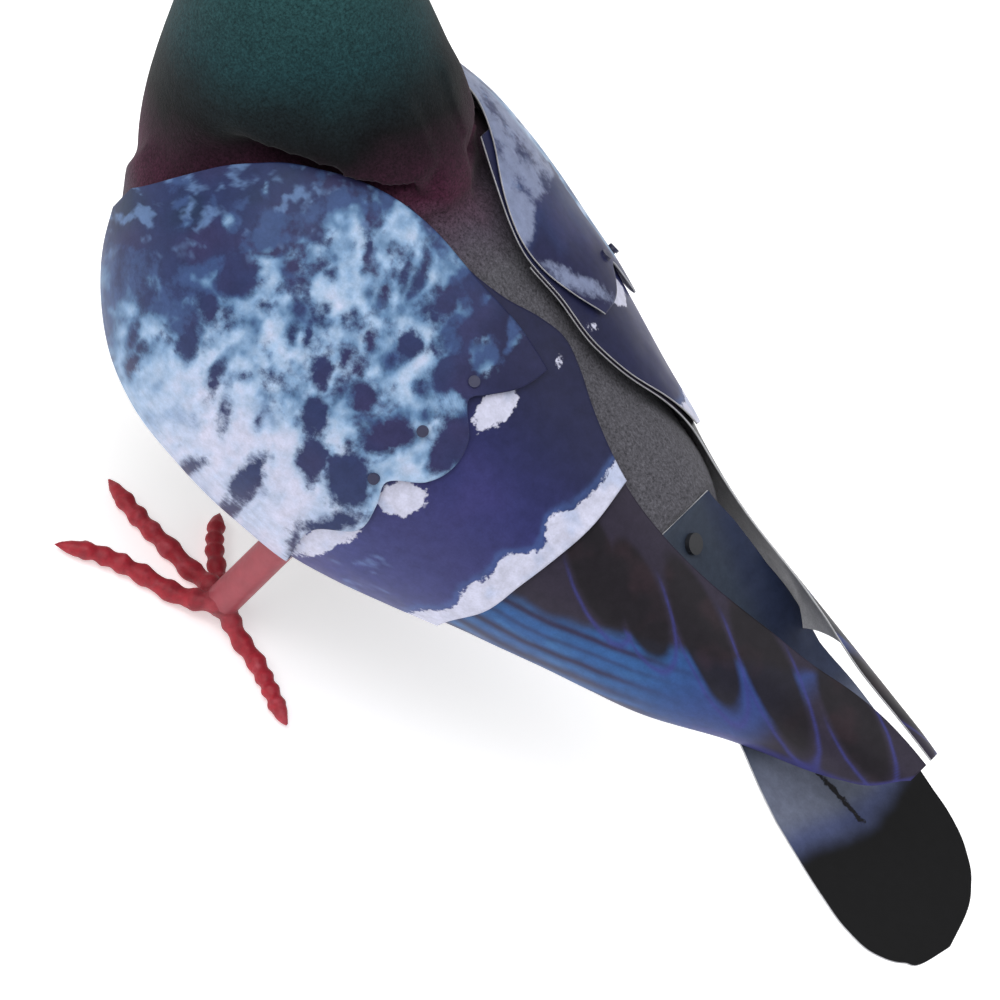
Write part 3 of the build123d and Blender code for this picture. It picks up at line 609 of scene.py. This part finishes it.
def paint_secondary(a, b, seen_b, side):
    """Indigo secondaries with white patches in front and a ragged white bar along the rear edge."""
    ground = ramp(b + 3.0 * cloud(a, b, 14.0, 51), SECONDARY_TONES)
    ground = mix(ground, rgb(66, 62, 116), 0.5 * step(0.1, 0.7, cloud(a, b, 16.0, 55)) * step(4, -10, b))
    streak = step(0.35, 0.7, cloud(a * 0.4, b * 1.5 + a * 0.6, 2.6, 57))
    streak = streak * step(-27, -36, b) * step(-44, -26, a)
    ground = mix(ground, rgb(110, 134, 182), 0.55 * streak)
    edge = smooth(b, BAR_LIMIT) + 0.7 * cloud(a, b, 2.2, 61)
    halo = np.exp(-((a - edge - 0.8) / 0.9) ** 2)
    ground = mix(ground, rgb(70, 96, 150), 0.5 * halo)
    depth = np.maximum(edge - a, mark_depth(a, b, WHITE_PATCHES, 0.7, 63))
    white = np.ones(a.shape + (3,)) * rgb(193, 194, 214)
    ink = mix(white, rgb(176, 184, 210), step(0.0, 0.6, cloud(a, b, 5.0, 65)))
    return ground, ink, depth


# Flight feathers' dark lobes: a, b of the middle, half-length, half-width, turn.
LOBES = [
    (-62, 1, 18, 6.0, 24), (-75, 3, 17, 5.6, 23), (-91, 8, 22, 5.4, 21), (-108, 13, 23, 5.4, 19),
    (-130, 19, 18, 5.4, 16),
]


LOW_LINE = [
    (-30, -41), (-46, -34), (-70, -26), (-94, -15), (-115, -3.5), (-130, 3.4), (-144, 11.7), (-150, 20),
]
# Thin dark rays between the feather shafts: height above the wing's lowest edge, spread, strength.
RAYS = [(2.2, 0.9, 0.8), (5.2, 0.8, 0.85), (8.3, 0.6, 0.5), (11.6, 0.9, 0.9), (14.4, 0.6, 0.35)]


def low_line(a):
    """Print coordinate of the wing's lowest visible edge."""
    return smooth(a, LOW_LINE)


def paint_flight(a, b, seen_b, side):
    """Blue flight feathers with thin dark rays, and black lobes edged with violet towards the tip."""
    q = b - low_line(a)
    ground = np.ones(a.shape + (3,)) * rgb(44, 84, 138)
    grain = step(-0.1, 0.7, cloud(a * 0.3, q * 1.2, 2.4, 81))
    ground = mix(ground, rgb(62, 112, 164), 0.6 * grain * step(-105, -60, a))
    ground = mix(ground, rgb(48, 60, 114), 0.8 * step(-84, -108, a))
    ground = mix(ground, rgb(54, 104, 160), 0.6 * step(-56, -48, a))
    for centre, spread, strength in RAYS:
        fan = centre * (1.0 + 0.004 * (-50 - a))
        wave = fan + 0.5 * cloud(a, b, 9.0, 85)
        ray = np.exp(-((q - wave) / spread) ** 2) * strength * step(-104, -78, a)
        ground = mix(ground, rgb(42, 28, 52), ray)
    upper = step(12.5, 17.0, q + 0.16 * (a + 60) + 1.6 * cloud(a, b, 7.0, 87) + 1.0)
    upper = np.maximum(upper, step(-112, -122, a))
    ground = mix(ground, rgb(45, 40, 54), upper)
    dark = np.zeros_like(a)
    edge = np.zeros_like(a)
    for centre_a, centre_b, half_length, half_width, turn in LOBES:
        c = math.cos(math.radians(turn))
        s = math.sin(math.radians(turn))
        x = (a - centre_a) * c + (b - centre_b) * s
        y = -(a - centre_a) * s + (b - centre_b) * c
        reach = np.sqrt((x / half_length) ** 2 + (y / half_width) ** 2) + 0.05 * cloud(a, b, 6.0, 91)
        ring = np.exp(-((reach - 1.06) / 0.055) ** 2) * step(6.0, -4.0, x)
        dark = np.maximum(dark, 1 - step(0.78, 1.0, reach))
        edge = np.maximum(edge * (1 - dark), ring)
    black = np.ones(a.shape + (3,)) * rgb(30, 27, 32)
    ink = mix(black, rgb(42, 32, 38), step(0.0, 0.6, cloud(a, b, 8.0, 95)))
    ground = mix(ground, ink, dark * 0.96)
    ground = mix(ground, rgb(56, 58, 122), edge * 0.75)
    ground = mix(ground, rgb(60, 60, 118), 0.7 * step(2.0, 0.4, q) * step(-100, -112, a))
    ground = mix(ground, rgb(46, 32, 58), 0.8 * step(1.2, 0.2, q) * step(-104, -90, a))
    return ground, ink, np.full_like(a, -6.0)


PRINTED = printed_material("printed_film")
MOTTLED = printed_material("printed_mottle", 1.0)
BACKING = backing_material("film_back")


def build_wing(side, body):
    word = "left" if side > 0 else "right"
    covert_back = COVERT_BACK if side > 0 else FAR_COVERT_BACK
    wing_back = WING_BACK if side > 0 else FAR_WING_BACK
    sheets = [
        ("covert", 75.8, COVERT_REAR, 2.3, 205, 230, paint_covert, 0.7, covert_back),
        ("secondary", 28.0, SECONDARY_REAR, 1.25, 150, 220, paint_secondary, 0.5, wing_back),
        ("flight", -2.0, None, 0.2, 280, 150, paint_flight, 0.3, wing_back),
    ]
    for kind, front_a, rear, lift, rows, columns, painter, curl, back in sheets:
        name = f"{word}_{kind}_print"
        obj = sheet_surface(name, front_a, rear, lift, rows, columns, side, painter, curl, body, back)
        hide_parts(f"{word}_{kind}_sheet")


build_wing(1, "left_wing")
build_wing(-1, "right_wing")


# ---------- foam skin ----------
def bake(obj, modifiers):
    """Applies modifiers, given as (kind, settings), to the object's mesh and returns the new mesh."""
    for kind, settings in modifiers:
        modifier = obj.modifiers.new(kind.lower(), kind)
        for key, value in settings.items():
            setattr(modifier, key, value)
    mesh = bpy.data.meshes.new_from_object(obj.evaluated_get(bpy.context.evaluated_depsgraph_get()))
    obj.modifiers.clear()
    obj.data = mesh
    mesh.polygons.foreach_set("use_smooth", [True] * len(mesh.polygons))
    return mesh


def even_and_smooth(voxel, passes):
    return [
        ("REMESH", {"mode": "VOXEL", "voxel_size": voxel}),
        ("SMOOTH", {"factor": 0.5, "iterations": passes}),
    ]


def remeshed(name, nodes, voxel, passes):
    """A copy of CAD nodes as one even mesh, lightly smoothed, for the foam's moulded surface."""
    joined = bmesh.new()
    for node in nodes:
        joined.from_mesh(frame["nodes"][node].data)
    mesh = bpy.data.meshes.new(name)
    joined.to_mesh(mesh)
    joined.free()
    obj = bpy.data.objects.new(name, mesh)
    scene.collection.objects.link(obj)
    bake(obj, even_and_smooth(voxel, passes))
    return obj


def soften_neck_folds(obj, passes):
    """Rounds the recesses beside the neck into folds, with room for the sheets' edges at full swing."""
    place = np.empty(len(obj.data.vertices) * 3)
    obj.data.vertices.foreach_get("co", place)
    trunk = to_trunk(place.reshape(-1, 3))
    a, l, d = trunk.T
    side_way = np.abs(l)
    reach = step(4, 9, side_way) * step(28, 20, side_way) * step(30, 40, d)
    dip = 1.9 * step(15, 22, a) * step(31, 28, a)
    rise = 1.1 * step(28, 31, a) * step(50, 43, a) * step(50, 54, d)
    end_wall = step(5, 9, side_way) * step(19, 14, side_way) * step(46, 54, d)
    end_wall = end_wall * step(18, 24, a) * step(44, 38, a)
    trunk[:, 1] = l - 1.4 * np.sign(l) * end_wall
    trunk[:, 2] = d + (rise - dip) * reach
    obj.data.vertices.foreach_set("co", to_row(trunk).ravel())
    weight = step(42, 54, a) * step(88, 78, a) * step(18, 30, d) * step(4, 10, np.abs(l))
    group = obj.vertex_groups.new(name="neck folds")
    for index in np.nonzero(weight > 0.01)[0]:
        group.add([int(index)], float(weight[index]), "REPLACE")
    bake(obj, [("SMOOTH", {"factor": 0.5, "iterations": passes, "vertex_group": group.name})])
    obj.vertex_groups.clear()


FOAM = foam_material()
foam = remeshed("body_foam_skin", ["body_foam"], 0.0013, 6)
soften_neck_folds(foam, 45)
foam.data.materials.clear()
foam.data.materials.append(FOAM)
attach(foam, BODY)
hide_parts("body_foam")
head = remeshed("head_skin", ["head"], 0.0011, 5)
head.data.materials.clear()
head.data.materials.append(FOAM)
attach(head, BODY)
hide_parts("head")

# ---------- materials of the carried-over nodes ----------
SLOT_LOOKS = {
    "beak_horn": plain_material("beak_horn", rgb(52, 48, 52), 0.45),
    "cere_white": plain_material("cere_white", rgb(222, 218, 212), 0.7),
    "board_white": plain_material("board_white", rgb(196, 198, 204), 0.6),
    "steel": plain_material("steel", rgb(160, 160, 164), 0.32, 1.0, 500.0),
    "brass": plain_material("brass", rgb(190, 158, 92), 0.3, 1.0, 500.0),
    "chassis_black": plain_material("chassis_black", rgb(36, 36, 39), 0.5),
    "gear_white": plain_material("gear_white", rgb(222, 220, 210), 0.45),
    "circuit_green": plain_material("circuit_green", rgb(34, 92, 58), 0.4),
    "cell_wrap": plain_material("cell_wrap", rgb(52, 66, 112), 0.3, 0.0, 200.0, 0.4),
    "leg_red": plain_material("leg_red", rgb(158, 66, 76), 0.5, 0.0, 260.0),
    "eye_orange": plain_material("eye_orange", rgb(206, 92, 24), 0.12, 0.0, 400.0, 0.8),
    "print_tail": plain_material("print_tail", rgb(70, 74, 88), 0.45),
}
# Small parts that carry the colour of what they sit in, instead of their slot's look.
DARK_NODES = {
    "left_wing_rivets": plain_material("rivet_violet", rgb(36, 38, 68), 0.5),
    "right_wing_rivets": plain_material("rivet_indigo", rgb(36, 38, 66), 0.5),
    "rump_screw": plain_material("screw_black", rgb(34, 35, 40), 0.4),
    "left_wing_arm": plain_material("arm_charcoal", rgb(44, 44, 50), 0.5),
    "right_wing_arm": plain_material("arm_graphite", rgb(44, 44, 50), 0.5),
}
for entry in frame["record"]["subparts"]:
    node = frame["nodes"][entry["node"]]
    look = DARK_NODES.get(entry["node"], SLOT_LOOKS.get(entry["material_slot"]))
    if look is None:
        continue
    node.data.materials.clear()
    node.data.materials.append(look)


# ---------- tail ----------
TAIL_LINE = [(-68, 34.0), (-90, 20.6), (-112, 11.0), (-135, 8.0), (-184, 6.0)]
# Plan of the tail film, which sits a little askew: station and l of its left and right edges.
TAIL_LEFT = [
    (-68, 9), (-90, 9.6), (-103, 11), (-115, 14.5), (-128, 19.4), (-142, 23.5), (-154, 26.5), (-164, 28),
    (-173, 26.5), (-179, 21.8), (-182.6, 16), (-184, 8),
]
TAIL_RIGHT = [
    (-68, -12), (-80, -15.5), (-92, -19), (-103, -22), (-112, -24.4), (-122, -25.4), (-134, -25),
    (-148, -23.4), (-155, -22), (-162, -20.6), (-171, -16.5), (-177, -11), (-181.5, -2.5), (-184, 7.6),
]


def paint_tail(a, l):
    """Slate root, pale grey middle and a black end with a soft blue-violet border."""
    border = -147 + 0.10 * l - 2.4 * np.cos(l / 8.0) + 1.4 * cloud(a, l, 9.0, 101)
    colour = np.ones(a.shape + (3,)) * rgb(101, 107, 126)
    colour = mix(colour, rgb(88, 94, 110), step(0.0, 0.7, cloud(a, l, 12.0, 103)))
    colour = mix(colour, rgb(50, 58, 72), step(-128, -112, a))
    colour = mix(colour, rgb(34, 42, 68), 0.8 * step(-6, -14, l) * step(-132, -118, a))
    colour = mix(colour, rgb(52, 62, 104), step(border + 8, border + 1, a) * 0.75)
    colour = mix(colour, rgb(11, 11, 13), step(border + 2.0, border - 4.5, a))
    slit = np.minimum(0.7 - np.abs(l - 1.5), np.minimum(a + 149.0, -133.0 - a))
    return colour, np.ones(a.shape + (3,)) * rgb(20, 19, 24), slit


def tail_surface(inset, drop, root, rows, columns):
    """Points of the tail film, or of the board below it, over its plan."""
    s = np.linspace(0, 1, rows)[:, None] * np.ones((1, columns))
    t = np.ones((rows, 1)) * np.linspace(0, 1, columns)[None, :]
    a = root - (root + 184 - inset) * (1 - (1 - s) ** 1.7)
    left = smooth(a - inset * step(-120, -184, a), TAIL_LEFT) - inset
    right = smooth(a - inset * step(-120, -184, a), TAIL_RIGHT) + inset
    left = np.maximum(left, right + 0.2)
    l = right + (left - right) * t
    lifted = 3.6 * step(-8.0, -20.0, l) * step(-118, -96, a) * step(-66, -78, a)
    stations, heights = zip(*reversed(TAIL_LINE))
    d = np.interp(a, stations, heights) + 0.66 - drop + lifted
    return a, l, d


def build_tail():
    for name, node, slot, inset, drop, root, thickness, looks in (
        ("tail_print_film", "tail_print", "print_tail", 0.0, 0.0, -68, 0.0005, (PRINTED, BACKING)),
        ("tail_board_core", "tail_board", "board_white", 3.0, 0.62, -98, 0.0015, (BOARD, BOARD)),
    ):
        a, l, d = tail_surface(inset, drop, root, 190, 90)
        points = np.stack([a, l, d], axis=-1)
        obj = mesh_object(name, to_row(points.reshape(-1, 3)), grid_faces(190, 90), paint_tail(a, l))
        thick = obj.modifiers.new("thickness", "SOLIDIFY")
        thick.thickness = thickness
        thick.offset = -1.0
        thick.material_offset = 1
        thick.material_offset_rim = 1
        for look in looks:
            obj.data.materials.append(look)
        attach(obj, BODY)
        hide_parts(node)


BOARD = plain_material("paper_board", rgb(190, 191, 194), 0.75, 0.0, 500.0)
build_tail()

# ---------- legs and feet ----------
TOE_FORM = [(41.5, -13, 1.0), (39.4, 14.5, 1.0), (17, -26, 0.95), (-31.8, 11.5, 0.95)]
ANKLE = to_row([-7.5, 30.0, -67.0])


def tube(path, radii, around=28, cap=True):
    """Closed tube through points in metres with a radius at each point."""
    path = np.asarray(path)
    tangents = np.gradient(path, axis=0)
    tangents /= np.linalg.norm(tangents, axis=1)[:, None]
    up = np.array([0.0, 0.0, 1.0])
    verts = []
    for p, tangent, radius in zip(path, tangents, radii):
        if abs(tangent[2]) > 0.95:
            up = np.array([1.0, 0.0, 0.0])
        side_way = np.cross(tangent, up)
        side_way /= np.linalg.norm(side_way)
        rise = np.cross(side_way, tangent)
        for k in range(around):
            turn = 2 * math.pi * k / around
            verts.append(p + radius * (math.cos(turn) * side_way + math.sin(turn) * rise))
    faces = grid_faces(len(path), around, closed=True)
    if cap:
        faces.append(tuple(range(around)))
        faces.append(tuple(reversed(range((len(path) - 1) * around, len(path) * around))))
    return verts, faces


def toe_path(forward, outward, size, side):
    """A toe from the ankle down to the floor and out to a slightly raised point."""
    ankle = np.array([ANKLE[0], side * ANKLE[1], ANKLE[2]])
    steps = 90
    path, radii = [], []
    for k in range(steps + 1):
        t = k / steps
        bend = 0.0016 * math.sin(t * 5.0 + forward)
        x = ankle[0] + forward * t / 1000 - bend * outward / 40
        y = ankle[1] + side * (outward * t / 1000) + bend * side * forward / 40
        rest = 0.0029 * size
        z = rest + (ankle[2] - rest) * (1 - min(1.0, t / 0.34)) ** 1.7 if t < 0.34 else rest
        z += 0.0010 * max(0.0, math.sin((t - 0.3) * 2.2)) * (1 - t) - 0.0012 * max(0.0, t - 0.8) * 5 * 0.6
        base = 0.0026 * size * (1 - 0.22 * t)
        ring = 0.15 * math.sin(2 * math.pi * (t * 7.4 + 0.2 * math.sin(9 * t)))
        ring = 1 + ring * (1 - step(0.82, 0.95, t))
        radius = base * ring
        if t > 0.84:
            radius = base * max(0.10, 1 - ((t - 0.84) / 0.165) ** 1.6)
        path.append((x, y, max(z, radius + 0.0002)))
        radii.append(radius)
    return path, radii


def build_foot(side):
    word = "left" if side > 0 else "right"
    verts, faces = [], []
    for forward, outward, size in TOE_FORM:
        path, radii = toe_path(forward, outward, size, side)
        v, f = tube(path, radii)
        base = len(verts)
        verts += v
        faces += [tuple(base + i for i in face) for face in f]
    ankle = np.array([ANKLE[0], side * ANKLE[1], ANKLE[2]])
    drop = np.array([0.0, 0.0, -0.0045])
    above = ankle + np.array([-0.0006, 0, 0.005])
    v, f = tube([above, ankle, ankle + drop * 0.6, ankle + drop], [0.0038, 0.0042, 0.004, 0.0026])
    base = len(verts)
    verts += v
    faces += [tuple(base + i for i in face) for face in f]
    rough = mesh_object(f"foot_{word}_vinyl", verts, faces)
    mesh = bake(rough, even_and_smooth(0.0005, 3))
    place = np.empty(len(mesh.vertices) * 3)
    mesh.vertices.foreach_get("co", place)
    place = place.reshape(-1, 3)
    lump = cloud(place[:, 0] * 1000, place[:, 1] * 1000, 2.4, 121, 4)
    normals = np.array([v.normal[:] for v in mesh.vertices])
    place = place + normals * (lump * 0.00028)[:, None]
    place[:, 2] = np.maximum(place[:, 2], 0.0001)
    mesh.vertices.foreach_set("co", place.ravel())
    reach = np.hypot(place[:, 0] - ankle[0], place[:, 1] - ankle[1]) * 1000
    colour = np.ones((len(place), 3)) * rgb(164, 34, 48)
    colour = mix(colour, rgb(150, 52, 62), step(9, 3, reach))
    # Painted highlight: paler rosy red where the lump raises the toe surface. Painted shade: darker red
    # where the lump sinks it.
    colour = mix(colour, rgb(184, 84, 96), 0.45 * step(0.1, 0.7, lump))
    colour = mix(colour, rgb(120, 30, 42), 0.5 * step(-0.1, -0.7, lump))
    set_colours(mesh, "ground", colour)
    mesh.polygons.foreach_set("use_smooth", [True] * len(mesh.polygons))
    mesh.materials.append(TOES)
    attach(rough, BODY)
    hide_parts(f"foot_{word}")


TOES = foot_material()
build_foot(1)
build_foot(-1)

# ---------- floor, light and camera ----------
def build_floor():
    size = 6.0
    verts = [(-size, -size, 0), (size, -size, 0), (size, size, 0), (-size, size, 0)]
    floor = mesh_object("floor", verts, [(0, 1, 2, 3)], smooth_shade=False)
    m = Nodes("floor_white")
    m.put(Base_Color=(0.93, 0.93, 0.935, 1.0), Roughness=0.9, Specular_IOR_Level=0.1)
    m.put(Emission_Color=(1.0, 1.0, 1.0, 1.0), Emission_Strength=0.45)
    floor.data.materials.append(m.material)


def area_light(name, place, target, size, power):
    light = bpy.data.lights.new(name, "AREA")
    light.shape = "SQUARE"
    light.size = size
    light.energy = power
    obj = bpy.data.objects.new(name, light)
    scene.collection.objects.link(obj)
    obj.location = place
    obj.rotation_euler = (Vector(target) - Vector(place)).to_track_quat("-Z", "Y").to_euler()


def build_camera():
    """Camera above the bird's left shoulder, strongly rolled, close on the trunk."""
    toward = np.array([0.0, VIEW_L, VIEW_D])
    across = np.array([0.0, -VIEW_D, VIEW_L])
    trunk_axis = np.array([1.0, 0.0, 0.0])
    roll = (0.695, 0.719)
    right = -roll[0] * trunk_axis + roll[1] * across
    up = roll[1] * trunk_axis + roll[0] * across
    distance = 5000.0
    frame_width = 234.2
    aim = 22.0 * right - 28.8 * up
    place = to_row(aim + toward * distance)
    basis = np.stack([right @ AXES, up @ AXES, toward @ AXES], axis=1)
    camera = bpy.data.cameras.new("camera")
    camera.sensor_width = 36.0
    camera.lens = 36.0 * distance / frame_width
    camera.clip_start = 0.01
    obj = bpy.data.objects.new("camera", camera)
    obj.matrix_world = Matrix.Translation(Vector(place)) @ Matrix(basis.tolist()).to_4x4()
    scene.collection.objects.link(obj)
    scene.camera = obj


build_floor()
area_light("key", (0.5, 0.9, 1.5), (0, 0, 0.08), 1.2, 15.0)
area_light("fill", (-1.1, -0.6, 1.3), (0, 0, 0.08), 1.4, 8.0)
area_light("top", (0.0, 0.1, 2.0), (0, 0, 0), 2.0, 13.0)
world = bpy.data.worlds.new("studio")
world.use_nodes = True
world.node_tree.nodes["Background"].inputs["Color"].default_value = (1.0, 1.0, 1.0, 1.0)
world.node_tree.nodes["Background"].inputs["Strength"].default_value = 0.42
scene.world = world
build_camera()
